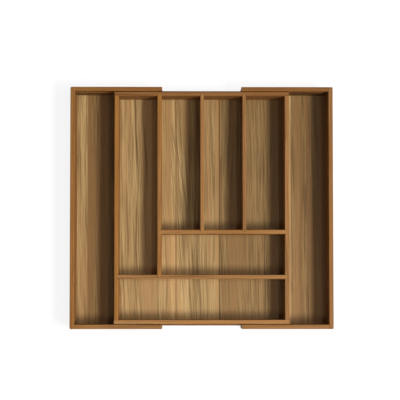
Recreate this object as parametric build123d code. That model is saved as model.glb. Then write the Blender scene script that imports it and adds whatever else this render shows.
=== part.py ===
from build123d import *
import os

# Expandable wooden cutlery tray, wings pulled out, as it lies in a drawer.
# A centre tray with six compartments stands between two U-shaped wings. A runner on
# the outer face of its front and back walls slides in a groove in each wing's rails,
# and the wings' floors pass under the centre tray.
# X is the direction of travel, +Y points to the back and +Z up. The origin is under the
# middle of the tray, on the surface that it lies on. Sizes are in millimetres.

# Overall sizes
depth = 436.0            # front to back, over the wings' rails
height = 50.0            # from the surface to every rim
centre_width = 314.0     # centre tray, from side to side
wing_opening = 71.5      # clear width between a wing's end wall and the centre tray

# Boards and panels
wing_board = 8.0         # the wings' end walls and rails
centre_board = 7.5       # the centre tray's walls, long divider and cross dividers
short_board = 6.5        # the two short dividers
panel = 3.0              # floors

# Clear depth of the two rows that run across the centre tray
front_row = 73.0
middle_row = 73.5

# Clearances between the centre tray and the wings
rail_gap = 1.0           # beside the centre tray's front and back walls
lift_gap = 0.3           # centre tray above the wings' floors
tip_gap = 0.5            # runner's outer face to the bottom of its groove
groove_gap = 0.4         # above the runner, and below it
closed_gap = 0.5         # end wall to centre tray with the wing pushed in

# Joinery
glue_gap = 0.1           # beside a tongue, a housed end, a panel's edge or a seated runner
housing_deep = 3.5       # how far a divider is let into the board that it meets
tongue_long = 3.5        # stub tongue on a board's end
tongue_stop = 7.0        # how far a tongue stays below the rim, and above the underside
tongue_thick_share = 3 / 8
rebate_wide = 4.0        # how far a floor panel reaches under the boards around it

# Runner
runner_high = 6.0
runner_seat = 2.0        # let into its wall
runner_proud = 2.9       # stands out of its wall
runner_drop = 10.0       # from the rim down to the runner's top

# Rounded edges
arris = 1.0              # long edges of every rim
corner = 2.0             # a wing's two outer corners
runner_arris = 0.8
panel_arris = 0.6        # free edge of a wing's floor

# How far a cut runs out past the face that it opens
overrun = 2.0

# Planes that several pieces share
wing_inner_y = depth / 2 - wing_board
centre_outer_y = wing_inner_y - rail_gap
centre_inner_y = centre_outer_y - centre_board
centre_outer_x = centre_width / 2
centre_inner_x = centre_outer_x - centre_board
centre_bottom = panel + lift_gap
centre_floor_top = centre_bottom + panel
wing_inner_x = centre_outer_x + wing_opening
wing_outer_x = wing_inner_x + wing_board
wing_travel = wing_opening - closed_gap
rail_free_x = wing_travel + closed_gap     # so facing rails nearly meet in the middle when closed

# Stub tongues, in the middle of a board's thickness
wing_tongue_half = wing_board * tongue_thick_share / 2
centre_tongue_half = centre_board * tongue_thick_share / 2
tongue_top = height - tongue_stop

# Runner and its groove
runner_top = height - runner_drop
runner_bottom = runner_top - runner_high
runner_tip_y = centre_outer_y + runner_proud
groove_bottom_y = runner_tip_y + tip_gap

# Dividers: the long compartment and the three short ones beside it are equally wide
columns = 4
column = (2 * centre_inner_x - centre_board - 2 * short_board) / columns
long_left = -centre_inner_x + column
long_right = long_left + centre_board
short_1_left = long_right + column
short_1_right = short_1_left + short_board
short_2_left = short_1_right + column
short_2_right = short_2_left + short_board
front_cross_front = -centre_inner_y + front_row
front_cross_back = front_cross_front + centre_board
rear_cross_front = front_cross_back + middle_row
rear_cross_back = rear_cross_front + centre_board


def block(low, high):
    """A rectangular solid between two opposite corners."""
    spans = [b - a for a, b in zip(low, high)]
    middle = [(a + b) / 2 for a, b in zip(low, high)]
    return Pos(*middle) * Box(*spans)


def rim(board, along):
    """The edges of a board's top face that run along one axis."""
    top = board.faces().sort_by(Axis.Z)[-1]
    return top.edges().filter_by(along)


def housing_y(x_low, x_high, face_y, into):
    """Slot for a divider's end, cut along Y into a face; into is 1 or -1."""
    start = face_y - into * overrun
    bottom = face_y + into * housing_deep
    low = (x_low - glue_gap, min(start, bottom), centre_floor_top)
    high = (x_high + glue_gap, max(start, bottom), height + overrun)
    return block(low, high)


def housing_x(y_low, y_high, face_x, into):
    """Slot for a divider's end, cut along X into a face; into is 1 or -1."""
    start = face_x - into * overrun
    bottom = face_x + into * housing_deep
    low = (min(start, bottom), y_low - glue_gap, centre_floor_top)
    high = (max(start, bottom), y_high + glue_gap, height + overrun)
    return block(low, high)


def right_wing_end_wall():
    """The wing's outer board. It covers the ends of both rails."""
    board = block((wing_inner_x, -depth / 2, 0), (wing_outer_x, depth / 2, height))
    outer_corners = board.faces().sort_by(Axis.X)[-1].edges().filter_by(Axis.Z)
    board = fillet(outer_corners, corner)
    board = fillet(board.faces().sort_by(Axis.Z)[-1].edges(), arris)
    reach_y = wing_inner_y + rebate_wide
    board -= block(
        (wing_inner_x - overrun, -reach_y, -overrun),
        (wing_inner_x + rebate_wide, reach_y, panel),
    )
    slot_y = wing_inner_y + wing_board / 2
    slot_half = wing_tongue_half + glue_gap
    for side in (-1, 1):
        board -= block(
            (wing_inner_x - overrun, side * slot_y - slot_half, tongue_stop - glue_gap),
            (wing_inner_x + tongue_long, side * slot_y + slot_half, tongue_top + glue_gap),
        )
    return board


def right_wing_back_rail():
    """Long board beside the centre tray, grooved for the runner and rebated for the floor."""
    board = block((rail_free_x, wing_inner_y, 0), (wing_inner_x, depth / 2, height))
    free_end = board.faces().sort_by(Axis.X)[0].edges()
    end_corners = free_end.filter_by(Axis.Z)
    end_rim = free_end.filter_by(Axis.Y).sort_by(Axis.Z)[-1]
    board = fillet(rim(board, Axis.X) + end_corners + [end_rim], arris)
    slot_y = wing_inner_y + wing_board / 2
    board += block(
        (wing_inner_x, slot_y - wing_tongue_half, tongue_stop),
        (wing_inner_x + tongue_long, slot_y + wing_tongue_half, tongue_top),
    )
    board -= block(
        (rail_free_x - overrun, wing_inner_y - overrun, runner_bottom - groove_gap),
        (wing_inner_x, groove_bottom_y, runner_top + groove_gap),
    )
    board -= block(
        (rail_free_x - overrun, wing_inner_y - overrun, -overrun),
        (wing_inner_x, wing_inner_y + rebate_wide, panel),
    )
    return board


def right_wing_floor():
    """Thin panel in the rebates of the end wall and rails, open towards the centre."""
    reach_x = wing_inner_x + rebate_wide - glue_gap
    reach_y = wing_inner_y + rebate_wide - glue_gap
    board = block((rail_free_x, -reach_y, 0), (reach_x, reach_y, panel))
    free_edge = board.faces().sort_by(Axis.X)[0].edges().filter_by(Axis.Y).sort_by(Axis.Z)[-1]
    return fillet(free_edge, panel_arris)


def cross_wall():
    """Back wall of the centre tray without its divider slots; mirrored, it is the front wall."""
    board = block(
        (-centre_outer_x, centre_inner_y, centre_bottom),
        (centre_outer_x, centre_outer_y, height),
    )
    outer_corners = board.faces().sort_by(Axis.Y)[-1].edges().filter_by(Axis.Z)
    board = fillet(rim(board, Axis.X) + outer_corners, arris)
    reach_x = centre_inner_x + rebate_wide
    board -= block(
        (-reach_x, centre_inner_y - overrun, centre_bottom - overrun),
        (reach_x, centre_inner_y + rebate_wide, centre_floor_top),
    )
    board -= block(
        (-centre_outer_x - overrun, centre_outer_y - runner_seat, runner_bottom - glue_gap),
        (centre_outer_x + overrun, centre_outer_y + overrun, runner_top + glue_gap),
    )
    slot_x = centre_inner_x + centre_board / 2
    slot_half = centre_tongue_half + glue_gap
    slot_bottom = centre_bottom + tongue_stop - glue_gap
    for side in (-1, 1):
        board -= block(
            (side * slot_x - slot_half, centre_inner_y - overrun, slot_bottom),
            (side * slot_x + slot_half, centre_inner_y + tongue_long, tongue_top + glue_gap),
        )
    return board


def back_wall():
    """Full-width wall that houses the long divider and both short ones."""
    board = cross_wall()
    board -= housing_y(long_left, long_right, centre_inner_y, 1)
    board -= housing_y(short_1_left, short_1_right, centre_inner_y, 1)
    board -= housing_y(short_2_left, short_2_right, centre_inner_y, 1)
    return board


def front_wall():
    """Full-width wall in front of the undivided front row."""
    return mirror(cross_wall(), about=Plane.XZ)


def side_wall():
    """Right-hand board between the front and back walls, with a stub tongue on each end."""
    board = block(
        (centre_inner_x, -centre_inner_y, centre_bottom),
        (centre_outer_x, centre_inner_y, height),
    )
    board = fillet(rim(board, Axis.Y), arris)
    slot_x = centre_inner_x + centre_board / 2
    reach_y = centre_inner_y + tongue_long
    board += block(
        (slot_x - centre_tongue_half, -reach_y, centre_bottom + tongue_stop),
        (slot_x + centre_tongue_half, reach_y, tongue_top),
    )
    board -= block(
        (centre_inner_x - overrun, -centre_inner_y, centre_bottom - overrun),
        (centre_inner_x + rebate_wide, centre_inner_y, centre_floor_top),
    )
    board -= housing_x(front_cross_front, front_cross_back, centre_inner_x, 1)
    return board


def right_wall():
    """Side wall that houses both cross dividers."""
    return side_wall() - housing_x(rear_cross_front, rear_cross_back, centre_inner_x, 1)


def left_wall():
    """Side wall of the long compartment; it houses only the front cross divider."""
    return mirror(side_wall(), about=Plane.YZ)


def centre_floor():
    """One panel under all the dividers, in the rebates of the four walls."""
    reach_x = centre_inner_x + rebate_wide - glue_gap
    reach_y = centre_inner_y + rebate_wide - glue_gap
    return block((-reach_x, -reach_y, centre_bottom), (reach_x, reach_y, centre_floor_top))


def divider_y(x_low, x_high, y_low):
    """Divider that runs to the back wall, with both ends housed."""
    board = block(
        (x_low, y_low - housing_deep, centre_floor_top),
        (x_high, centre_inner_y + housing_deep, height),
    )
    return fillet(rim(board, Axis.Y), arris)


def divider_x(x_low, y_low, y_high):
    """Divider that runs to the right wall, with both ends housed."""
    board = block(
        (x_low - housing_deep, y_low, centre_floor_top),
        (centre_inner_x + housing_deep, y_high, height),
    )
    return fillet(rim(board, Axis.X), arris)


def long_divider():
    """Right side of the long compartment; the rear cross divider is let into it."""
    board = divider_y(long_left, long_right, front_cross_back)
    return board - housing_x(rear_cross_front, rear_cross_back, long_right, -1)


def front_cross_divider():
    """Back of the front row; the long divider is let into it."""
    board = divider_x(-centre_inner_x, front_cross_front, front_cross_back)
    return board - housing_y(long_left, long_right, front_cross_back, -1)


def rear_cross_divider():
    """Back of the middle row; both short dividers are let into it."""
    board = divider_x(long_right, rear_cross_front, rear_cross_back)
    board -= housing_y(short_1_left, short_1_right, rear_cross_back, -1)
    board -= housing_y(short_2_left, short_2_right, rear_cross_back, -1)
    return board


def back_runner():
    """Strip in the back wall's outer face, on which both wings slide."""
    strip = block(
        (-centre_outer_x, centre_outer_y - runner_seat, runner_bottom),
        (centre_outer_x, runner_tip_y, runner_top),
    )
    tip = strip.faces().sort_by(Axis.Y)[-1]
    return fillet(tip.edges(), runner_arris)


# The right wing is modelled and the left one is its mirror image. A wing's front rail is
# the mirror image of its back rail.
pieces = {
    "left_wall": left_wall(),
    "right_wall": right_wall(),
    "back_wall": back_wall(),
    "front_wall": front_wall(),
    "centre_floor": centre_floor(),
    "long_divider": long_divider(),
    "short_divider_left": divider_y(short_1_left, short_1_right, rear_cross_back),
    "short_divider_right": divider_y(short_2_left, short_2_right, rear_cross_back),
    "rear_cross_divider": rear_cross_divider(),
    "front_cross_divider": front_cross_divider(),
    "back_runner": back_runner(),
    "front_runner": mirror(back_runner(), about=Plane.XZ),
    "right_wing_end_wall": right_wing_end_wall(),
    "right_wing_back_rail": right_wing_back_rail(),
    "right_wing_front_rail": mirror(right_wing_back_rail(), about=Plane.XZ),
    "right_wing_floor": right_wing_floor(),
}
for name in ("end_wall", "back_rail", "front_rail", "floor"):
    pieces["left_wing_" + name] = mirror(pieces["right_wing_" + name], about=Plane.YZ)

os.makedirs("parts", exist_ok=True)
for name, shape in pieces.items():
    shape.label = name
    export_step(shape, "parts/" + name + ".step")

print("open width", 2 * wing_outer_x, "closed width", 2 * (wing_outer_x - wing_travel))
print("each wing slides in by", wing_travel)
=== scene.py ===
# %% [markdown]
# # An expandable cutlery tray in oiled acacia
# The real tray is a piece of light joinery: thin boards with softly rounded rims stand on
# thin floor panels, and two wings slide out along runners at the front and back.
# Every board is already modelled at its real size in the frame, with its rounded edges,
# grooves and joints, so the work here is the wood itself, the light and the camera.

import math

import bmesh
import bpy
from mathutils import Matrix, Vector


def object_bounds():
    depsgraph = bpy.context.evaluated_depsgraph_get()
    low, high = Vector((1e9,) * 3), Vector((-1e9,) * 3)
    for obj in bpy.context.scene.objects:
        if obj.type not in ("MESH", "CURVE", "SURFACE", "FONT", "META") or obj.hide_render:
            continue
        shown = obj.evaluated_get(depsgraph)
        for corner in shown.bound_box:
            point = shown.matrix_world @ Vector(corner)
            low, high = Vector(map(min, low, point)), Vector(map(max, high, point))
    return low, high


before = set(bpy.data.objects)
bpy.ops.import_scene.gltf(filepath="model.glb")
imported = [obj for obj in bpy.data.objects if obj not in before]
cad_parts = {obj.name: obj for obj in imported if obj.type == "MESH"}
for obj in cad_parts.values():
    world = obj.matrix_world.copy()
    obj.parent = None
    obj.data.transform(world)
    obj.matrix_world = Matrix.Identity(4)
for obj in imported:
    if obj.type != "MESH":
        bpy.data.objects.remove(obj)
cad_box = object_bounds()
MM = 0.001

# %% [markdown]
# ## Camera
# The tray is seen from straight above, a little in front of its middle, so the inner faces
# of the back walls show and those of the front walls don't. A camera that is tilted far
# enough for that makes the tray's sides run together. A view camera avoids it with a
# lens shift, and here a small shift and a small tilt share the work.

# %% Camera
EYE = Vector((-23.1, -135.5, 2089.8)) * MM
AIM = Vector((-3.1, -58.4, 50.0)) * MM
LENS_MM = 102.4
SENSOR_MM = 36.0
SHIFT_UP = 0.1


def add_camera():
    """A camera at EYE whose picture keeps the tray's depth upright."""
    data = bpy.data.cameras.new("camera")
    data.lens = LENS_MM
    data.sensor_width = SENSOR_MM
    data.shift_y = SHIFT_UP
    ahead = (AIM - EYE).normalized()
    right = ahead.cross(Vector((0, 1, 0))).normalized()
    up = right.cross(ahead)
    camera = bpy.data.objects.new("camera", data)
    turn = Matrix((right, up, -ahead)).transposed().to_4x4()
    camera.matrix_world = Matrix.Translation(EYE) @ turn
    bpy.context.scene.collection.objects.link(camera)
    bpy.context.scene.camera = camera
    return camera


camera = add_camera()
print("camera", round((EYE - AIM).length, 3), "m from the rims")

# %% [markdown]
# ## Light
# Three soft lamps stand at the front right, the right and the front. Each wall throws a
# shadow over the floor to its left or behind it, and where both meet, in the front right
# corner of every compartment, almost no light is left. A smaller lamp high on the right
# reaches part of these shadows, which gives them a second, darker step close to the wall.
# A weak even sky fills in the rest.
# Together they give a level surface about as much light as a white card sends back, so a
# colour looks about as it is written.

# %% Lamps
LAMP_X = 2.1
LAMP_Y = -1.1
LAMP_Z = 3.15
LAMP_WIDE = 1.1
LAMP_HIGH = 0.75
HIGH_LAMP_X = 0.75
HIGH_LAMP_SCALE = 0.3
FRONT_RIGHT_SHARE = 0.575
RIGHT_SHARE = 0.22
FRONT_SHARE = 0.08
HIGH_SHARE = 0.085
SKY_SHARE = 0.04
RIM = Vector((0, 0, cad_box[1][2]))


def soft_lamp(name, place, share, scale=1.0):
    """A lamp panel that gives the rims this share of the full level."""
    data = bpy.data.lights.new(name, "AREA")
    data.shape = "RECTANGLE"
    data.size = LAMP_WIDE * scale
    data.size_y = LAMP_HIGH * scale
    ray = RIM - place
    data.energy = math.pi**2 * share * ray.length_squared / -ray.normalized().z
    lamp = bpy.data.objects.new(name, data)
    lamp.location = place
    lamp.rotation_mode = "QUATERNION"
    lamp.rotation_quaternion = ray.to_track_quat("-Z", "Y")
    bpy.context.scene.collection.objects.link(lamp)
    return lamp


soft_lamp("front_right_lamp", Vector((LAMP_X, LAMP_Y, LAMP_Z)), FRONT_RIGHT_SHARE)
soft_lamp("right_lamp", Vector((LAMP_X, 0, LAMP_Z)), RIGHT_SHARE)
soft_lamp("front_lamp", Vector((0, LAMP_Y, LAMP_Z)), FRONT_SHARE)
soft_lamp("high_lamp", Vector((HIGH_LAMP_X, 0, LAMP_Z)), HIGH_SHARE, HIGH_LAMP_SCALE)
print("light shares", FRONT_RIGHT_SHARE + RIGHT_SHARE + FRONT_SHARE + HIGH_SHARE + SKY_SHARE)

# %% [markdown]
# ## Node helpers
# A material is a tree of nodes. These helpers add one node, feed its sockets with either
# another node's output or a plain value, and return it, so that a formula stays one line.

# %% Node helpers


def feed(tree, socket, value):
    """Link another node's output into a socket, or set a plain value on it."""
    if isinstance(value, bpy.types.NodeSocket):
        tree.links.new(value, socket)
    else:
        socket.default_value = value


def add(tree, kind, inputs=None, **settings):
    """One node with its settings and inputs."""
    node = tree.nodes.new(kind)
    for name, value in settings.items():
        setattr(node, name, value)
    for name, value in (inputs or {}).items():
        feed(tree, node.inputs[name], value)
    return node


def calc(tree, operation, a, b=0.0, c=0.0):
    """The output of one Math node."""
    node = add(tree, "ShaderNodeMath", {0: a, 1: b, 2: c}, operation=operation)
    return node.outputs[0]


def vector_calc(tree, operation, a, b=(0.0, 0.0, 0.0)):
    """The output of one Vector Math node."""
    node = add(tree, "ShaderNodeVectorMath", {0: a, 1: b}, operation=operation)
    return node.outputs["Vector"]


def remap(tree, value, from_low, from_high, to_low=0.0, to_high=1.0):
    """A value carried smoothly from one range to another."""
    inputs = {
        "Value": value,
        "From Min": from_low,
        "From Max": from_high,
        "To Min": to_low,
        "To Max": to_high,
    }
    return add(tree, "ShaderNodeMapRange", inputs, interpolation_type="SMOOTHSTEP").outputs["Result"]


# the Mix node has sockets of one name for each type of data; these are its colours
FIRST_COLOUR, SECOND_COLOUR, MIXED_COLOUR = 6, 7, 2


def blend_colour(tree, share, a, b, kind="MIX"):
    """Two colours mixed by a share."""
    node = add(tree, "ShaderNodeMix", data_type="RGBA", blend_type=kind)
    feed(tree, node.inputs["Factor"], share)
    feed(tree, node.inputs[FIRST_COLOUR], a)
    feed(tree, node.inputs[SECOND_COLOUR], b)
    return node.outputs[MIXED_COLOUR]


def noise(tree, place, detail=2.0, roughness=0.5):
    """Cloudy noise, about one blob for each unit of place."""
    inputs = {"Vector": place, "Scale": 1.0, "Detail": detail, "Roughness": roughness}
    return add(tree, "ShaderNodeTexNoise", inputs, noise_dimensions="3D").outputs["Fac"]


def line_noise(tree, count, detail=0.0, roughness=0.5):
    """Noise along one count, about one rise and fall for each unit."""
    inputs = {"W": count, "Scale": 1.0, "Detail": detail, "Roughness": roughness}
    return add(tree, "ShaderNodeTexNoise", inputs, noise_dimensions="1D").outputs["Fac"]


def srgb(red, green, blue):
    """A colour as a paint chart gives it, 0 to 255, as the linear values that nodes need."""
    parts = [v / 255 for v in (red, green, blue)]
    linear = [v / 12.92 if v <= 0.04045 else ((v + 0.055) / 1.055) ** 2.4 for v in parts]
    return (*linear, 1.0)


print("helpers ready")

# %% [markdown]
# ## Wood
# Acacia has straight fibres, fine dark pores that are cut open along the board, bands of
# paler and darker growth, and here and there a thin dark vein. One node group makes all of
# it from a place in the wood. Its X axis runs along the fibres, so every pattern is
# stretched along X: long streaks show on a board's faces, and dots on its sawn ends, as on
# the real thing. Growth bands and veins follow one count across the board, which slow
# noise pushes to and fro, so they bend and part together as a tree's layers do.
# Every board gets its own seed, because no two boards come from the same spot.

# %% Wood group


def new_group(name, inputs, outputs):
    """An empty node group with named sockets."""
    tree = bpy.data.node_groups.new(name, "ShaderNodeTree")
    for title, kind, default in inputs:
        socket = tree.interface.new_socket(title, in_out="INPUT", socket_type=kind)
        if default is not None:
            socket.default_value = default
    for title, kind in outputs:
        tree.interface.new_socket(title, in_out="OUTPUT", socket_type=kind)
    return tree, tree.nodes.new("NodeGroupInput"), tree.nodes.new("NodeGroupOutput")


def streaks(tree, place, along, across, detail, roughness):
    """Noise drawn out along the fibres; along and across count its blobs to the metre."""
    stretched = vector_calc(tree, "MULTIPLY", place, (along, across, across))
    return noise(tree, stretched, detail, roughness)


def centred(tree, value, gain):
    """Noise moved to lie around 0 and scaled."""
    return calc(tree, "MULTIPLY", calc(tree, "SUBTRACT", value, 0.5), gain)


NUMBER, COLOUR, VECTOR = "NodeSocketFloat", "NodeSocketColor", "NodeSocketVector"
VEIN_BROWN = (0.075, 0.036, 0.014, 1.0)
PORE_BROWN = (0.03, 0.014, 0.006, 1.0)
WOOD_INPUTS = [
    ("Place", VECTOR, None),
    ("Seed", NUMBER, 0.0),
    ("Pale", COLOUR, (0.5, 0.3, 0.15, 1.0)),
    ("Dark", COLOUR, (0.2, 0.1, 0.04, 1.0)),
    ("Warm", COLOUR, (0.4, 0.16, 0.04, 1.0)),
    ("Sway", NUMBER, 5.0),
    ("Rings", NUMBER, 1.0),
    ("Streaks", NUMBER, 1.0),
    ("Blush", NUMBER, 0.3),
    ("Veins", NUMBER, 0.5),
    ("Pores", NUMBER, 0.5),
]
WOOD_OUTPUTS = [("Color", COLOUR), ("Roughness", NUMBER), ("Height", NUMBER)]
# each kind of streak: blobs to the metre along and across the fibres, detail, roughness
SWAY = (3.4, 15.0, 2.0, 0.5)
WIDE = (3.0, 190.0, 2.0, 0.5)
NARROW = (11.0, 400.0, 2.0, 0.6)
FINE = (30.0, 1100.0, 2.0, 0.6)
CLOUD = (7.0, 18.0, 1.0, 0.5)
BLUSH = (2.0, 52.0, 2.0, 0.5)
VEIN = (4.0, 25.0, 1.0, 0.5)
PORE = (160.0, 2900.0, 1.0, 0.5)
# how much a streak adds to the tone
WIDE_GAIN = 1.0
NARROW_GAIN = 0.66
FINE_GAIN = 1.3
CLOUD_GAIN = 0.9
# growth bands to the metre across and through a board, and the noise that tones them
BANDS_ACROSS = 240.0
BANDS_THROUGH = 190.0
BAND_DETAIL = 4.0
BAND_ROUGHNESS = 0.62
# the stretch of a noise that is drawn out to the whole range from 0 to 1
BAND_RANGE = (0.3, 0.64)
NARROW_RANGE = (0.36, 0.64)
BLUSH_RANGE = (0.4, 0.62)
VEIN_RANGE = (0.45, 0.62)
PORE_RANGE = (0.62, 0.74)
# veins follow the growth bands at a slower pace, from a count of their own
VEIN_PACE = 0.12
VEIN_COUNT = 40.0
VEIN_WIDTH = 0.05
# a seed moves the place less along the fibres than across them
SEED_ALONG = 0.413
# pores are rougher than the wood between them and lie deeper
PLAIN_ROUGHNESS = 0.46
PORE_ROUGHNESS = 0.2
PORE_RELIEF = -0.8


def build_wood_group():
    """Colour, roughness and relief of oiled acacia from a place in the wood."""
    tree, given, out = new_group("acacia", WOOD_INPUTS, WOOD_OUTPUTS)
    value = given.outputs
    along = calc(tree, "MULTIPLY", value["Seed"], SEED_ALONG)
    shift = add(tree, "ShaderNodeCombineXYZ", {"X": along, "Y": value["Seed"], "Z": value["Seed"]})
    place = vector_calc(tree, "ADD", value["Place"], shift.outputs["Vector"])

    sway = centred(tree, streaks(tree, place, *SWAY), value["Sway"])
    axes = add(tree, "ShaderNodeSeparateXYZ", {"Vector": place}).outputs
    through = calc(tree, "MULTIPLY", axes["Z"], BANDS_THROUGH)
    count = calc(tree, "MULTIPLY_ADD", axes["Y"], BANDS_ACROSS, through)
    count = calc(tree, "ADD", count, sway)
    bands = remap(tree, line_noise(tree, count, BAND_DETAIL, BAND_ROUGHNESS), *BAND_RANGE)
    rings = centred(tree, bands, value["Rings"])

    wide = centred(tree, streaks(tree, place, *WIDE), WIDE_GAIN)
    sharp = remap(tree, streaks(tree, place, *NARROW), *NARROW_RANGE)
    narrow = centred(tree, sharp, NARROW_GAIN)
    fine = centred(tree, streaks(tree, place, *FINE), FINE_GAIN)
    cloud = centred(tree, streaks(tree, place, *CLOUD), CLOUD_GAIN)
    grain = calc(tree, "ADD", calc(tree, "ADD", wide, narrow), calc(tree, "ADD", fine, cloud))
    tone = calc(tree, "MULTIPLY_ADD", grain, value["Streaks"], calc(tree, "ADD", rings, 0.5))
    tone = add(tree, "ShaderNodeClamp", {"Value": tone}).outputs["Result"]
    wood = blend_colour(tree, tone, value["Dark"], value["Pale"])

    blush = remap(tree, streaks(tree, place, *BLUSH), *BLUSH_RANGE)
    wood = blend_colour(tree, calc(tree, "MULTIPLY", blush, value["Blush"]), wood, value["Warm"])

    vein_noise = line_noise(tree, calc(tree, "MULTIPLY_ADD", count, VEIN_PACE, VEIN_COUNT))
    off_line = calc(tree, "ABSOLUTE", calc(tree, "SUBTRACT", vein_noise, 0.5))
    line = remap(tree, off_line, 0.0, VEIN_WIDTH, 1.0, 0.0)
    present = remap(tree, streaks(tree, place, *VEIN), *VEIN_RANGE)
    veins = calc(tree, "MULTIPLY", calc(tree, "MULTIPLY", line, present), value["Veins"])
    wood = blend_colour(tree, veins, wood, VEIN_BROWN)

    pores = remap(tree, streaks(tree, place, *PORE), *PORE_RANGE)
    wood = blend_colour(tree, calc(tree, "MULTIPLY", pores, value["Pores"]), wood, PORE_BROWN)
    roughness = calc(tree, "MULTIPLY_ADD", pores, PORE_ROUGHNESS, PLAIN_ROUGHNESS)
    feed(tree, out.inputs["Color"], wood)
    feed(tree, out.inputs["Roughness"], roughness)
    feed(tree, out.inputs["Height"], calc(tree, "MULTIPLY_ADD", pores, PORE_RELIEF, fine))
    return tree


wood_group = build_wood_group()
print("wood group has", len(wood_group.nodes), "nodes")

# %% [markdown]
# ## Boards
# A board's tone says where it lies between deep brown and pale straw, its warmth how far
# it leans to orange, and its side shade how much darker its broad faces are painted than
# the rim: a painted shade on the faces that don't look up. All three come from looking
# at the boards one by one.

# %% Boards
STRAW = srgb(182, 137, 89)
BROWN = srgb(116, 73, 35)
WARMING = (1.0, 0.88, 0.6, 1.0)
STREAK_PALE = (1.22, 1.24, 1.26, 1.0)
STREAK_DARK = (0.68, 0.62, 0.56, 1.0)
ALONG_X = (0.0, 0.0, 0.0)
ALONG_Y = (0.0, 0.0, -math.pi / 2)
WHITE = (1.0, 1.0, 1.0, 1.0)
# how strongly each pattern of the wood group shows on a board
BOARD_GRAIN = {
    "Sway": 6.0,
    "Rings": 0.6,
    "Streaks": 1.0,
    "Blush": 0.5,
    "Veins": 0.3,
    "Pores": 0.5,
}
# each board's wood is cut this many metres from the last one's
SEED_STEP = 0.37
# a face that looks up less than the first value is a side and gets the painted shade, more than the
# second a rim
RIM_RANGE = (0.1, 0.8)
OIL_SHEEN = 0.1
RELIEF = {"Strength": 0.25, "Distance": 0.0002}

# node: grain direction, tone, warmth, side shade (how dark the broad faces are painted, as shade)
BOARDS = {
    "left_wall": (ALONG_Y, 0.73, 1.0, 0.76),
    "right_wall": (ALONG_Y, 0.58, 0.2, 0.9),
    "back_wall": (ALONG_X, 0.34, 0.5, 1.0),
    "front_wall": (ALONG_X, 0.75, 0.3, 0.9),
    "long_divider": (ALONG_Y, 0.72, 0.7, 0.9),
    "short_divider_left": (ALONG_Y, 0.61, 0.1, 0.9),
    "short_divider_right": (ALONG_Y, 0.52, 0.0, 0.9),
    "rear_cross_divider": (ALONG_X, 0.67, 0.6, 0.9),
    "front_cross_divider": (ALONG_X, 0.64, 0.4, 0.9),
    "back_runner": (ALONG_X, 0.0, 0.2, 0.8),
    "front_runner": (ALONG_X, 0.1, 0.2, 0.8),
    "left_wing_end_wall": (ALONG_Y, 0.54, 0.8, 0.85),
    "left_wing_back_rail": (ALONG_X, 0.36, 0.7, 0.52),
    "left_wing_front_rail": (ALONG_X, 0.6, 0.4, 0.9),
    "right_wing_end_wall": (ALONG_Y, 0.44, 0.1, 0.9),
    "right_wing_back_rail": (ALONG_X, 0.24, 0.3, 0.43),
    "right_wing_front_rail": (ALONG_X, 0.52, 0.0, 0.9),
}


def times(a, b):
    """One colour filtered by another."""
    return tuple(x * y for x, y in zip(a, b))


def mixed(a, b, share):
    """A colour part of the way from a to b."""
    return tuple(x + (y - x) * share for x, y in zip(a, b))


def wood_material(name, grain, values):
    """Principled wood fed by the acacia group."""
    material = bpy.data.materials.new(name)
    material.use_nodes = True
    tree = material.node_tree
    surface = tree.nodes["Principled BSDF"]
    surface.inputs["Specular IOR Level"].default_value = OIL_SHEEN
    where = add(tree, "ShaderNodeTexCoord").outputs["Object"]
    turned = add(tree, "ShaderNodeMapping", {"Vector": where, "Rotation": grain}).outputs["Vector"]
    wood = tree.nodes.new("ShaderNodeGroup")
    wood.name = "acacia"
    wood.node_tree = wood_group
    feed(tree, wood.inputs["Place"], turned)
    for title, value in values.items():
        feed(tree, wood.inputs[title], value)
    bump = add(tree, "ShaderNodeBump", {"Height": wood.outputs["Height"], **RELIEF})
    feed(tree, surface.inputs["Base Color"], wood.outputs["Color"])
    feed(tree, surface.inputs["Roughness"], wood.outputs["Roughness"])
    feed(tree, surface.inputs["Normal"], bump.outputs["Normal"])
    return material


def board_material(node, number):
    """The wood of one board: its rim has the written colour and its broad faces are painted darker,
    as shade.
    """
    grain, tone, warmth, side_shade = BOARDS[node]
    body = times(mixed(BROWN, STRAW, tone), mixed(WHITE, WARMING, warmth))
    values = {"Seed": SEED_STEP * number, "Warm": times(body, WARMING), **BOARD_GRAIN}
    material = wood_material("acacia_" + node, grain, values)
    tree = material.node_tree
    wood = tree.nodes["acacia"]
    facing = add(tree, "ShaderNodeNewGeometry").outputs["Normal"]
    upward = add(tree, "ShaderNodeSeparateXYZ", {"Vector": facing}).outputs["Z"]
    # painted shade: faces that don't look up get the board's colour times its side shade
    unshaded_share = remap(tree, upward, *RIM_RANGE)
    for title, streak in (("Pale", STREAK_PALE), ("Dark", STREAK_DARK)):
        rim_colour = times(body, streak)
        shaded_face_colour = times(rim_colour, (side_shade, side_shade, side_shade, 1.0))
        feed(tree, wood.inputs[title], blend_colour(tree, unshaded_share, shaded_face_colour, rim_colour))
    return material


def dress(node, material):
    """Put one material on a CAD node."""
    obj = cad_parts[node]
    obj.data.materials.clear()
    obj.data.materials.append(material)


for number, node in enumerate(BOARDS):
    dress(node, board_material(node, number))
print("boards dressed:", len(BOARDS))

# %% [markdown]
# ## Floor panels
# Each floor is one thin panel of edge-glued staves that run from front to back. A ramp
# with constant steps gives every stave its own tone across the panel, and the wood group
# adds the grain on top. The staves also shift the seed, so the grain changes at each joint,
# and the pale ones were sawn a little askew, so their fibres lean.

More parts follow.
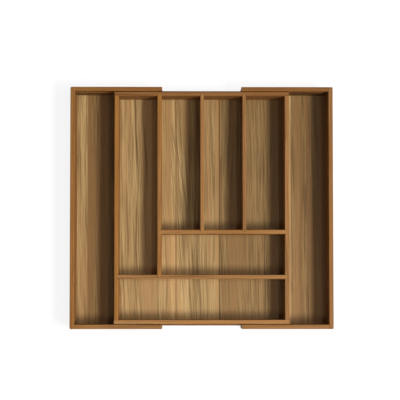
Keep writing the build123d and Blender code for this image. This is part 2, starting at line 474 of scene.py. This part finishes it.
# %% Floor panels
# node: left edge of each stave in mm and its tone from 0 (umber) to 1 (cream); the two
# narrow ones are joints that show as a dark line
FLOORS = {
    "centre_floor": [
        (-153, 0.69),
        (-78, 0.82),
        (-57, 1.08),
        (-48, 0.55),
        (-46, 0.98),
        (-24, 0.74),
        (24, 0.82),
        (31, 0.1),
        (33, 0.37),
        (103, 0.41),
        (112, 0.27),
    ],
    "left_wing_floor": [(-233, 0.67), (-209, 0.22), (-190, 0.25)],
    # the right wing's last stave, from 197 mm, lies in the end wall's shadow; its tone is set to
    # that shadow's brightness, so it is partly painted light and partly the wood's tone
    "right_wing_floor": [(71, 0.45), (157, 1.0), (164, 0.36), (181, 0.22), (197, 0.3)],
}
# node: where the painted shade starts, in mm; from there a stave is painted darker towards the back,
# as shade
PAINTED_SHADE_START = {"centre_floor": -78, "left_wing_floor": 300, "right_wing_floor": 71}
PAINTED_SHADE_TINT = (0.76, 0.75, 0.72, 1.0)
PAINTED_SHADE_EDGE = 4
PAINTED_SHADE_FRONT = -220
PAINTED_SHADE_BACK = 140
FLOOR_GRAIN = {
    "Sway": 9.0,
    "Rings": 0.6,
    "Streaks": 0.9,
    "Blush": 0.85,
    "Veins": 0.5,
    "Pores": 0.35,
}
# a stave's seed follows its tone, and each panel has its own
SEED_BY_TONE = 60.0
SEED_BY_PANEL = 3.1
CREAM = srgb(194, 162, 112)
UMBER = srgb(112, 82, 46)
ROSY_TINT = (1.04, 0.92, 0.86, 1.0)
PALER = (1.28, 1.29, 1.28, 1.0)
DARKER = (0.56, 0.51, 0.44, 1.0)
LAST_STAVE_MM = 80
# how far a stave's fibres lean, as a slope: the pale staves lean most
LEAN_GAIN = 0.4
LEAN_LEVEL = -0.155
LEAN_LEAST = 0.015
# the centre floor's leaning vein, in mm: from y VEIN_BACK to VEIN_FRONT it moves from x
# VEIN_START to VEIN_END, wobbles by up to VEIN_WOBBLE and fades out over VEIN_FADE.
# VEIN_BENDS counts its bends to the metre, and VEIN_SHARE is how strongly it shows.
VEIN_BACK = 160
VEIN_FRONT = -40
VEIN_START = -50
VEIN_END = -27
VEIN_HALF = 1.5
VEIN_WOBBLE = 4
VEIN_FADE = 40
VEIN_BENDS = 22.0
VEIN_SHARE = 0.6


def tone_ramp(tree, across, staves):
    """A colour for every stave, by its place across the panel."""
    start, end = staves[0][0], staves[-1][0] + LAST_STAVE_MM
    share = calc(tree, "DIVIDE", calc(tree, "SUBTRACT", across, start * MM), (end - start) * MM)
    ramp = add(tree, "ShaderNodeValToRGB", {"Fac": share})
    ramp.color_ramp.interpolation = "CONSTANT"
    ramp.color_ramp.elements.remove(ramp.color_ramp.elements[1])
    ramp.color_ramp.elements[0].color = mixed(UMBER, CREAM, staves[0][1])
    for x, tone in staves[1:]:
        ramp.color_ramp.elements.new((x - start) / (end - start)).color = mixed(UMBER, CREAM, tone)
    return ramp.outputs["Color"]


def leaning_vein(tree, where, colour):
    """One long dark vein that leans away from its stave's joint."""
    wobble = noise(tree, vector_calc(tree, "MULTIPLY", where, (0.0, VEIN_BENDS, 0.0)))
    axes = add(tree, "ShaderNodeSeparateXYZ", {"Vector": where}).outputs
    lean = remap(tree, axes["Y"], VEIN_BACK * MM, VEIN_FRONT * MM, VEIN_START * MM, VEIN_END * MM)
    middle = calc(tree, "MULTIPLY_ADD", wobble, VEIN_WOBBLE * MM, lean)
    off = calc(tree, "ABSOLUTE", calc(tree, "SUBTRACT", axes["X"], middle))
    line = remap(tree, off, 0.0, VEIN_HALF * MM, 1.0, 0.0)
    reach = remap(tree, axes["Y"], VEIN_FRONT * MM, (VEIN_FRONT + VEIN_FADE) * MM)
    share = calc(tree, "MULTIPLY", calc(tree, "MULTIPLY", line, reach), VEIN_SHARE)
    return blend_colour(tree, share, colour, VEIN_BROWN)


def leaning_place(tree, straight, red):
    """The place in the wood, sheared so that a stave's fibres lean by its tone."""
    slope = calc(tree, "MULTIPLY_ADD", red, LEAN_GAIN, LEAN_LEVEL)
    slope = calc(tree, "MAXIMUM", slope, LEAN_LEAST)
    along = add(tree, "ShaderNodeSeparateXYZ", {"Vector": straight}).outputs["X"]
    aside = add(tree, "ShaderNodeCombineXYZ", {"Y": calc(tree, "MULTIPLY", slope, along)})
    return vector_calc(tree, "SUBTRACT", straight, aside.outputs["Vector"])


def floor_material(node, number):
    """Staved wood: each stave is a stretch of X with its own tone and its own grain."""
    material = wood_material("staves_" + node, ALONG_Y, FLOOR_GRAIN)
    tree = material.node_tree
    wood = tree.nodes["acacia"]
    where = add(tree, "ShaderNodeTexCoord").outputs["Object"]
    axes = add(tree, "ShaderNodeSeparateXYZ", {"Vector": where}).outputs
    stave = tone_ramp(tree, axes["X"], FLOORS[node])
    red = add(tree, "ShaderNodeSeparateColor", {"Color": stave}).outputs["Red"]
    seed = calc(tree, "MULTIPLY_ADD", red, SEED_BY_TONE, SEED_BY_PANEL * number)
    feed(tree, wood.inputs["Seed"], seed)
    straight = wood.inputs["Place"].links[0].from_socket
    feed(tree, wood.inputs["Place"], leaning_place(tree, straight, red))
    # painted shade: from this start the floor colour is multiplied by the tint, more towards the
    # back
    start = PAINTED_SHADE_START[node]
    painted_shade = remap(tree, axes["X"], start * MM, (start + PAINTED_SHADE_EDGE) * MM)
    shade_to_back = remap(tree, axes["Y"], PAINTED_SHADE_FRONT * MM, PAINTED_SHADE_BACK * MM)
    painted_shade = calc(tree, "MULTIPLY", painted_shade, shade_to_back)
    body = blend_colour(tree, painted_shade, stave, PAINTED_SHADE_TINT, "MULTIPLY")
    for title, tint in (("Pale", PALER), ("Dark", DARKER), ("Warm", ROSY_TINT)):
        feed(tree, wood.inputs[title], blend_colour(tree, 1.0, body, tint, "MULTIPLY"))
    if node == "centre_floor":
        surface = tree.nodes["Principled BSDF"]
        veined = leaning_vein(tree, where, wood.outputs["Color"])
        feed(tree, surface.inputs["Base Color"], veined)
    return material


for number, node in enumerate(FLOORS):
    dress(node, floor_material(node, number))
print("floors dressed:", len(FLOORS))

# %% [markdown]
# ## Backdrop
# The tray lies on a plain pale floor that reads as white. Most of that white is glow that
# only the camera and mirror-like rays see, so it doesn't light the wood, and the part that
# comes from the lamps keeps the tray's soft shadow.

# %% Backdrop
FLOOR_SPAN = 12.0
FLOOR_DROP = 0.0003
FLOOR_GLOW = 0.88
FLOOR_GREY = 0.17
FLOOR_ROUGHNESS = 0.9


def seen_directly(tree):
    """1 for camera, mirror and see-through rays, 0 for the light that reaches the wood."""
    path = add(tree, "ShaderNodeLightPath")
    seen = calc(tree, "ADD", path.outputs["Is Camera Ray"], path.outputs["Is Glossy Ray"])
    return calc(tree, "MINIMUM", calc(tree, "ADD", seen, path.outputs["Is Transmission Ray"]), 1.0)


def add_floor():
    """A wide level plane just under the tray."""
    mesh = bpy.data.meshes.new("floor")
    shape = bmesh.new()
    bmesh.ops.create_grid(shape, x_segments=1, y_segments=1, size=FLOOR_SPAN / 2)
    bmesh.ops.translate(shape, verts=shape.verts, vec=(0, 0, -FLOOR_DROP))
    shape.to_mesh(mesh)
    shape.free()
    floor = bpy.data.objects.new("floor", mesh)
    bpy.context.scene.collection.objects.link(floor)
    material = bpy.data.materials.new("pale_floor")
    material.use_nodes = True
    tree = material.node_tree
    surface = tree.nodes["Principled BSDF"]
    surface.inputs["Base Color"].default_value = (FLOOR_GREY, FLOOR_GREY, FLOOR_GREY, 1.0)
    surface.inputs["Roughness"].default_value = FLOOR_ROUGHNESS
    surface.inputs["Specular IOR Level"].default_value = 0.0
    surface.inputs["Emission Color"].default_value = (1.0, 1.0, 1.0, 1.0)
    glow = calc(tree, "MULTIPLY", seen_directly(tree), FLOOR_GLOW)
    feed(tree, surface.inputs["Emission Strength"], glow)
    mesh.materials.append(material)
    return floor


def light_sky():
    """An even sky: white to the camera, weak to the wood."""
    world = bpy.data.worlds.new("sky")
    world.use_nodes = True
    bpy.context.scene.world = world
    tree = world.node_tree
    background = tree.nodes["Background"]
    background.inputs["Color"].default_value = (1.0, 1.0, 1.0, 1.0)
    strength = calc(tree, "MULTIPLY_ADD", seen_directly(tree), 1.0 - SKY_SHARE, SKY_SHARE)
    feed(tree, background.inputs["Strength"], strength)


add_floor()
light_sky()
bpy.context.scene.view_settings.view_transform = "Standard"
